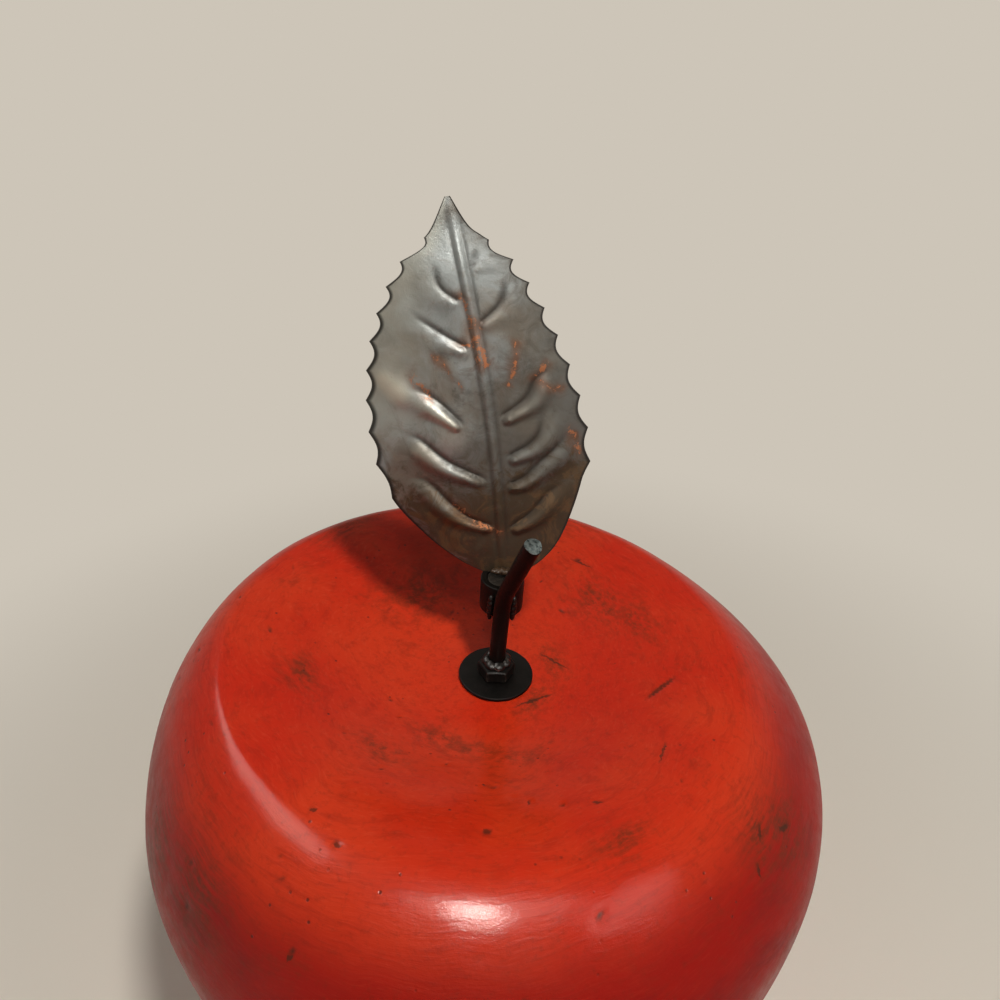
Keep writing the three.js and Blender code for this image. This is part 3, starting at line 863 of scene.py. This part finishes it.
def leaf_blade(material):
    """Both faces of the sheet and a rounded edge between them."""
    middle, attributes = leaf_middle()
    normals = grid_normals(middle, closed=False)
    half = normals * LEAF_THICKNESS / 2
    rows, columns = middle.shape[:2]
    index = np.arange(rows * columns).reshape(rows, columns)
    rim = np.concatenate([index[0, :-1], index[:-1, -1], index[-1, :0:-1], index[:0:-1, 0]]).tolist()
    inward = np.roll(middle, 1, axis=1)
    inward[:, 0] = middle[:, 1]
    inward[0] = middle[1]
    lip = (middle + unit(middle - inward) * LEAF_LIP).reshape(-1, 3)[rim]
    count = rows * columns
    faces = grid_faces(rows, columns, closed=False)
    faces += [tuple(count + corner for corner in reversed(face)) for face in faces]
    for here in range(len(rim)):
        after = (here + 1) % len(rim)
        faces.append((rim[after], rim[here], 2 * count + here, 2 * count + after))
        faces.append((2 * count + after, 2 * count + here, count + rim[here], count + rim[after]))
    points = np.vstack([(middle + half).reshape(-1, 3), (middle - half).reshape(-1, 3), lip])
    behind = {**attributes, "rub": 0 * attributes["rub"]}
    spread = {
        key: np.concatenate([values.ravel(), behind[key].ravel(), values.ravel()[rim]])
        for key, values in attributes.items()
    }
    shape = on_stem(points), faces
    add_piece("leaf_blade", shape, [material], "leaf", spread, sharp=50)


# Materials

def colour(red, green, blue):
    """A colour from its 0 to 255 screen values."""
    def linear(value):
        value = value / 255
        return value / 12.92 if value <= 0.04045 else ((value + 0.055) / 1.055) ** 2.4
    return (linear(red), linear(green), linear(blue), 1)


class Nodes:
    """A node tree. Most methods add a node and give back its output."""

    def __init__(self, tree):
        self.tree = tree

    def feed(self, socket, value):
        if isinstance(value, bpy.types.NodeSocket):
            self.tree.links.new(value, socket)
        else:
            socket.default_value = value

    def node(self, kind, inputs, **settings):
        node = self.tree.nodes.new("ShaderNode" + kind)
        for key, value in settings.items():
            setattr(node, key, value)
        for key, value in inputs.items():
            self.feed(node.inputs[key], value)
        return node

    def place(self):
        return self.node("TexCoord", {}).outputs["Object"]

    def attribute(self, name):
        return self.node("Attribute", {}, attribute_name=name).outputs["Fac"]

    def maths(self, operation, first, second=0.5, third=0.5):
        inputs = {0: first, 1: second, 2: third}
        return self.node("Math", inputs, operation=operation).outputs[0]

    def times(self, first, second):
        return self.maths("MULTIPLY", first, second)

    def vector(self, operation, first, second=(0, 0, 0)):
        return self.node("VectorMath", {0: first, 1: second}, operation=operation).outputs[0]

    def measure(self, operation, first, second=(0, 0, 0)):
        return self.node("VectorMath", {0: first, 1: second}, operation=operation).outputs["Value"]

    def shaken(self, vector, scale, reach):
        """The vector, moved a little in a random way."""
        cloud = self.node("TexNoise", {"Vector": vector, "Scale": scale}).outputs["Color"]
        shift = self.vector("SUBTRACT", cloud, (0.5, 0.5, 0.5))
        return self.vector("ADD", vector, self.vector("MULTIPLY", shift, (reach, reach, reach)))

    def split(self, vector):
        return self.node("SeparateXYZ", {0: vector}).outputs

    def join(self, x, y, z):
        return self.node("CombineXYZ", {0: x, 1: y, 2: z}).outputs[0]

    def noise(self, vector, scale, detail=4, roughness=0.6, distortion=0):
        inputs = {
            "Vector": vector, "Scale": scale, "Detail": detail,
            "Roughness": roughness, "Distortion": distortion,
        }
        return self.node("TexNoise", inputs).outputs[0]

    def spots(self, vector, scale):
        return self.node("TexVoronoi", {"Vector": vector, "Scale": scale}).outputs["Distance"]

    def between(self, value, low, high, start=0, end=1):
        """start below low, end above high, and a smooth change between them."""
        inputs = {"Value": value, "From Min": low, "From Max": high, "To Min": start, "To Max": end}
        node = self.node("MapRange", inputs, interpolation_type="SMOOTHSTEP")
        return node.outputs["Result"]

    def mix(self, share, first, second):
        inputs = {0: share, 6: first, 7: second}
        return self.node("Mix", inputs, data_type="RGBA").outputs[2]

    def bump(self, height, distance, strength):
        inputs = {"Height": height, "Distance": distance, "Strength": strength}
        return self.node("Bump", inputs).outputs[0]

    def edges(self):
        """Over 0.5 on outer edges and under it in corners."""
        return self.node("NewGeometry", {}).outputs["Pointiness"]

    def seen(self):
        """1 on rays by which the camera sees a thing, straight, mirrored or through glass."""
        paths = self.node("LightPath", {}).outputs
        seen = paths["Is Camera Ray"]
        for ray in ("Is Glossy Ray", "Is Transmission Ray"):
            seen = self.maths("MAXIMUM", seen, paths[ray])
        return seen

    def mix_shaders(self, share, first, second):
        return self.node("MixShader", {0: share, 1: first, 2: second}).outputs[0]


class Look(Nodes):
    """The nodes of a material, whose base colour is laid on in coats."""

    def __init__(self, name, **settings):
        self.material = bpy.data.materials.new(name)
        self.material.use_nodes = True
        super().__init__(self.material.node_tree)
        self.shader = self.tree.nodes["Principled BSDF"]
        for key, value in settings.items():
            self.set(key.replace("_", " "), value)

    def set(self, name, value):
        self.feed(self.shader.inputs[name], value)

    def lay(self, share, red, green, blue):
        """Lays a coat of a colour on, as strong as share says."""
        self.base = self.mix(share, self.base, colour(red, green, blue))


def worn_marks(look, level, z):
    """1 inside the marks and pits on the apple's top and 0 outside them."""
    ragged = look.shaken(level, 500, 0.0022)
    worn = look.between(look.attribute("worn"), 0.1, 0.9, 0, 0.8)
    for x, y, heading, length, width, _ in MARKS:
        turn = radians(heading)
        offset = look.vector("SUBTRACT", ragged, (x, y, 0))
        lengthwise = (2 * cos(turn) / length, 2 * sin(turn) / length, 0)
        widthwise = (-2 * sin(turn) / width, 2 * cos(turn) / width, 0)
        along, across = [look.measure("DOT_PRODUCT", offset, way) for way in (lengthwise, widthwise)]
        apart = look.measure("LENGTH", look.join(along, across, 0))
        worn = look.maths("MAXIMUM", worn, look.between(apart, 1.15, 0.5, 0, 0.75))
    return look.times(worn, look.between(z, EQUATOR_HEIGHT - 0.002, EQUATOR_HEIGHT))


def painted_wood():
    """Red paint brushed round the apple, rubbed with a brown wash and lacquered, with a painted shadow
    of the leaf laid in the wash on the top's back left.
    """
    look = Look("painted_wood", Specular_IOR_Level=0.03, Coat_Weight=0.21, Coat_Roughness=0.15)
    place = look.place()
    x, y, z = look.split(place)
    level = look.join(x, y, 0)
    radius = look.measure("LENGTH", level)
    way_x, way_y, _ = look.split(look.vector("NORMALIZE", level))
    down = look.maths("SUBTRACT", radius, z)
    tone = look.noise(place, 13, 3)
    blotch = look.noise(place, 34, 5, 0.65, 0.4)
    mottle = look.noise(place, 140, 6, 0.7)
    fine = look.noise(place, 420, 5, 0.7)
    wavy = look.maths("MULTIPLY_ADD", tone, 0.03, down)

    def brushed(round_scale, down_scale):
        return look.join(
            look.times(way_x, round_scale),
            look.times(way_y, round_scale),
            look.times(wavy, down_scale),
        )

    streak = look.noise(brushed(7, 360), 1, 5, 0.7)
    hair = look.noise(brushed(22, 1500), 1, 3, 0.7)
    look.base = look.mix(look.between(tone, 0.35, 0.65), colour(206, 55, 23), colour(196, 37, 13))
    look.lay(look.between(down, -0.11, -0.075, 0, 0.9), 154, 9, 4)
    glaze = look.noise(brushed(2.2, 38), 1, 6, 0.7)
    dark = look.times(look.between(down, -0.12, -0.04), look.between(glaze, 0.44, 0.68))
    look.lay(look.times(dark, 0.6), 96, 12, 18)
    look.lay(look.between(streak, 0.46, 0.72, 0, 0.4), 146, 28, 12)
    fewer = look.between(down, -0.125, -0.085, 0.26, 0.1)
    pale = look.times(look.between(hair, 0.48, 0.78), fewer)
    look.lay(pale, 220, 84, 54)
    look.lay(look.between(fine, 0.5, 0.72, 0, 0.28), 120, 34, 16)
    thin = look.times(look.between(blotch, 0.52, 0.72), 0.45)
    # This brown also holds a painted shadow of the leaf on the top's back left
    wash_and_shadow = look.maths("MAXIMUM", look.attribute("wash_and_shadow"), thin)
    wash_and_shadow = look.times(wash_and_shadow, look.between(streak, 0.36, 0.58))
    wash_and_shadow = look.times(wash_and_shadow, look.between(fine, 0.34, 0.6, 0.25, 0.75))
    look.lay(wash_and_shadow, 92, 44, 20)
    specks = look.between(look.spots(place, 230), 0.16, 0.06)
    rare = look.between(look.noise(place, 55, 2), 0.55, 0.66)
    specks = look.times(specks, rare)
    look.lay(look.times(specks, 0.75), 62, 30, 20)
    look.lay(worn_marks(look, level, z), 54, 34, 20)
    look.set("Base Color", look.base)
    look.set("Roughness", look.between(mottle, 0.3, 0.75, 0.36, 0.54))
    height = look.maths("MULTIPLY_ADD", mottle, 0.7, look.times(streak, 0.6))
    height = look.maths("SUBTRACT", height, look.times(specks, 0.8))
    look.set("Normal", look.bump(height, 0.0004, 0.5))
    look.set("Coat Normal", look.bump(height, 0.0003, 0.4))
    return look.material


def black_steel():
    """Black paint on steel, rubbed thin on the edges."""
    look = Look("black_steel", Specular_IOR_Level=0.1)
    place = look.place()
    grain = look.noise(place, 900, 4, 0.65)
    cloud = look.noise(place, 160, 3)
    look.base = look.mix(look.between(cloud, 0.35, 0.7), colour(6, 5, 4), colour(14, 11, 10))
    rub = look.between(look.edges(), 0.54, 0.62)
    rub = look.times(rub, look.between(grain, 0.35, 0.6))
    look.lay(look.times(rub, 0.45), 96, 86, 78)
    look.set("Base Color", look.base)
    look.set("Roughness", look.between(grain, 0.3, 0.7, 0.36, 0.55))
    look.set("Normal", look.bump(grain, 0.0001, 0.6))
    return look.material


def weld_metal(name, skin):
    """Weld metal that shines through its darker skin on the lumps."""
    look = Look(name, Specular_IOR_Level=0.2)
    place = look.place()
    grain = look.noise(place, 620, 4, 0.6)
    cloud = look.noise(place, 330, 3, 0.6, 0.5)
    lump = look.between(look.edges(), 0.5, 0.6)
    bare = look.times(look.between(cloud, 0.6, 0.72), lump)
    look.set("Base Color", look.mix(bare, skin, colour(128, 120, 114)))
    look.set("Metallic", bare)
    look.set("Roughness", look.between(grain, 0.3, 0.7, 0.24, 0.42))
    look.set("Normal", look.bump(grain, 0.0002, 0.5))
    return look.material


def bare_steel():
    """The nipped end of the bar."""
    look = Look("bare_steel", Metallic=1.0)
    grain = look.noise(look.place(), 700, 3, 0.6)
    look.base = look.mix(look.between(grain, 0.35, 0.65), colour(78, 88, 90), colour(122, 132, 134))
    look.set("Base Color", look.base)
    look.set("Roughness", look.between(grain, 0.3, 0.7, 0.25, 0.4))
    look.set("Normal", look.bump(grain, 0.0002, 0.7))
    return look.material


def leaf_painted_sheen_and_polish(look, along, edge, raised):
    """Brighter steel: a painted sheen at the left edge, and on what stands out, away from the foot,
    partly rubbed steel and partly a painted highlight.
    """
    # Painted sheen along the left edge
    painted_sheen = look.between(edge, -0.3, -0.9, 0, 0.5)
    painted_sheen = look.times(painted_sheen, look.between(along, 0.34, 0.52))
    look.lay(painted_sheen, 172, 174, 166)
    # What stands out is partly rubbed bright and partly a painted highlight, most towards the left
    leftward = look.between(edge, 0.6, -0.9, 0.2, 1.2)
    rubbed = look.times(look.between(raised, 0.1, 0.9, 0, 0.8), leftward)
    rubbed = look.times(rubbed, look.between(along, 0.2, 0.46, 0.1, 1))
    look.lay(rubbed, 192, 188, 174)


def leaf_copper_and_crease_shade(look, stain, flake):
    """Broken copper-coloured rubs in a brown haze, and painted shade in the creases."""
    rub = look.attribute("rub")
    patchy = look.between(stain, 0.36, 0.6, 0.25, 0.8)
    near_rub = look.between(look.maths("POWER", rub, 0.3), 0.1, 0.75, 0, 0.85)
    look.lay(look.times(near_rub, patchy), 100, 66, 46)
    # Painted shade in the creases and beside the midrib
    look.lay(look.times(look.attribute("crease"), 0.75), 38, 32, 28)
    broken = look.maths("ADD", rub, look.between(flake, 0.36, 0.64, -0.7, 0.3))
    look.lay(look.between(broken, 0.28, 0.6, 0, 0.8), 178, 112, 72)


def leaf_rust(look, low, flake, smoke):
    """Dark pits and patches of rust towards the foot."""
    pitted = look.times(look.between(flake, 0.6, 0.7), look.between(low, 0.3, 0.9, 0.1, 0.7))
    look.lay(pitted, 34, 27, 22)
    rusted = look.times(look.between(smoke, 0.5, 0.4), look.between(low, 0.3, 0.9, 0, 0.5))
    look.lay(rusted, 104, 78, 50)


def leaf_steel():
    """Gun-metal patina with rust towards the foot and copper-coloured rubs on the veins, with painted
    shade on the right side, towards the foot and in the creases, and a painted sheen and highlights
    towards the left edge.
    """
    look = Look("leaf_steel", Specular_IOR_Level=0.2)
    place = look.place()
    along = look.attribute("along")
    edge = look.attribute("edge")
    raised = look.attribute("raised")
    cloud = look.noise(place, 40, 4, 0.6, 0.4)
    stain = look.noise(place, 120, 6, 0.7, 0.8)
    flake = look.noise(place, 520, 6, 0.75, 0.6)
    grain = look.noise(place, 1100, 5, 0.7)
    look.base = look.mix(look.between(cloud, 0.38, 0.64), colour(138, 144, 145), colour(116, 111, 103))
    look.lay(look.between(stain, 0.5, 0.72, 0, 0.5), 92, 82, 72)
    smoke = look.noise(place, 75, 6, 0.75, 1.2)
    look.lay(look.between(smoke, 0.5, 0.68, 0, 0.5), 66, 63, 60)
    # Painted shade: the right side and the part towards the foot are laid darker
    shade = look.maths("MULTIPLY_ADD", edge, 0.65, look.between(along, 0.85, 0.2))
    shade = look.maths("ADD", shade, look.between(stain, 0.3, 0.75, -0.2, 0.2))
    look.lay(look.between(shade, 0.15, 0.8, 0, 0.75), 74, 70, 63)
    low = look.maths("MULTIPLY_ADD", edge, 0.16, look.between(along, 0.48, 0.14))
    low = look.maths("ADD", low, look.between(stain, 0.3, 0.75, -0.3, 0.3))
    look.lay(look.between(low, 0.25, 0.8, 0, 0.9), 64, 50, 33)
    leaf_painted_sheen_and_polish(look, along, edge, raised)
    leaf_copper_and_crease_shade(look, stain, flake)
    leaf_rust(look, low, flake, smoke)
    rim = look.between(look.maths("ABSOLUTE", edge), 0.945, 0.985, 0, 0.9)
    look.lay(rim, 28, 25, 23)
    look.set("Base Color", look.base)
    dull = look.between(shade, 0.35, 1.05, 0, 0.24)
    metal = look.between(raised, 0.1, 0.9, 0.5, 0.25)
    look.set("Metallic", look.maths("SUBTRACT", metal, dull))
    rough = look.between(stain, 0.3, 0.7, 0.34, 0.5)
    look.set("Roughness", look.maths("ADD", rough, dull))
    height = look.maths("MULTIPLY_ADD", stain, 1.5, grain)
    look.set("Normal", look.bump(height, 0.0002, 0.35))
    return look.material


# Stage, light and camera

PALE = colour(205, 197, 184)
LAMP_COLOUR = (1, 0.95, 0.88)
# The floor takes shadows within the first distance and is plain background beyond the second
FLOOR_FADE = (0.16, 0.6)


def floor():
    """A pale floor that keeps the shadow near the part and turns into the background far from it."""
    mesh = bpy.data.meshes.new("floor_mesh")
    reach = 40
    corners = [(-reach, -reach, 0), (reach, -reach, 0), (reach, reach, 0), (-reach, reach, 0)]
    mesh.from_pydata(corners, [], [(0, 1, 2, 3)])
    look = Look("floor", Roughness=0.9, Specular_IOR_Level=0.1)
    look.set("Base Color", colour(244, 238, 228))
    glow = look.node("Emission", {"Color": PALE, "Strength": 1.0})
    far = look.measure("LENGTH", look.place())
    share = look.times(look.seen(), look.between(far, *FLOOR_FADE))
    mixed = look.mix_shaders(share, look.shader.outputs[0], glow.outputs[0])
    look.feed(look.tree.nodes["Material Output"].inputs["Surface"], mixed)
    mesh.materials.append(look.material)
    plane = new_object("floor", mesh)


def lamp(name, turn, rise, distance, size, power, lights=True, shines=True):
    """An area lamp that faces the apple's top: turn is from the front towards the right, in degrees.

    One that only shines makes highlights, and one that only lights makes none.
    """
    light = bpy.data.lights.new(name, "AREA")
    light.shape = "ELLIPSE"
    light.size, light.size_y = size
    light.energy = power
    light.color = LAMP_COLOUR
    target = Vector((0, 0, SEAT_HEIGHT))
    turn, rise = radians(turn), radians(rise)
    way = Vector((cos(rise) * sin(turn), -cos(rise) * cos(turn), sin(rise)))
    thing = new_object(name, light)
    thing.visible_camera = False
    thing.visible_diffuse = lights
    thing.visible_glossy = shines
    thing.location = target + way * distance
    thing.rotation_euler = way.to_track_quat("Z", "Y").to_euler()


def world():
    """Soft light from all round, which shows as a plain pale background."""
    sky = bpy.data.worlds.new("world")
    sky.use_nodes = True
    nodes = Nodes(sky.node_tree)
    nodes.tree.nodes.clear()
    lights = []
    for shade, strength in ((colour(255, 246, 232), 0.1), (PALE, 1)):
        light = nodes.node("Background", {"Color": shade, "Strength": strength})
        lights.append(light.outputs[0])
    nodes.node("OutputWorld", {"Surface": nodes.mix_shaders(nodes.seen(), *lights)})
    bpy.context.scene.world = sky


def camera():
    data = bpy.data.cameras.new("camera")
    data.lens = CAMERA_LENS
    data.sensor_width = SENSOR_WIDTH
    data.clip_start = 0.01
    thing = new_object("camera", data)
    thing.location = CAMERA_PLACE
    thing.rotation_euler = (radians(90 - CAMERA_PITCH), 0, 0)
    bpy.context.scene.camera = thing


def build():
    paint = painted_wood()
    black = black_steel()
    weld = weld_metal("weld_metal", colour(17, 13, 12))
    leaf_bead = weld_metal("leaf_bead", colour(66, 50, 37))
    bare = bare_steel()
    leaf = leaf_steel()
    apple_body(paint)
    washer(black)
    coach_screw(black)
    stem_rod(black, bare)
    stem_weld(weld)
    leaf_socket(black)
    socket_weld("socket_weld_left", -1, weld)
    socket_weld("socket_weld_right", 1, weld)
    leaf_plug(leaf)
    leaf_blade(leaf)
    leaf_weld("leaf_weld_front", LEAF_WELD_FRONT, -1, leaf_bead)
    leaf_weld("leaf_weld_back", LEAF_WELD_BACK, 1, leaf_bead)
    floor()
    lamp("key", 38, 66, 1.1, (0.14, 0.14), 7.4, shines=False)
    lamp("top", -3, 62, 1.1, (0.2, 0.2), 1.3, shines=False)
    lamp("fill", -50, 40, 1.2, (0.5, 0.5), 0.7, shines=False)
    lamp("front", 5, 40, 1.1, (0.26, 0.17), 13, lights=False)
    lamp("wide", 10, 42, 1.1, (0.9, 0.36), 6.2, lights=False)
    lamp("right", 50, 26, 1.2, (0.6, 0.3), 3.1, lights=False)
    lamp("left", -92, 53, 1.2, (1.4, 0.45), 16, lights=False)
    world()
    camera()
    bpy.context.scene.view_settings.view_transform = "Standard"


build()
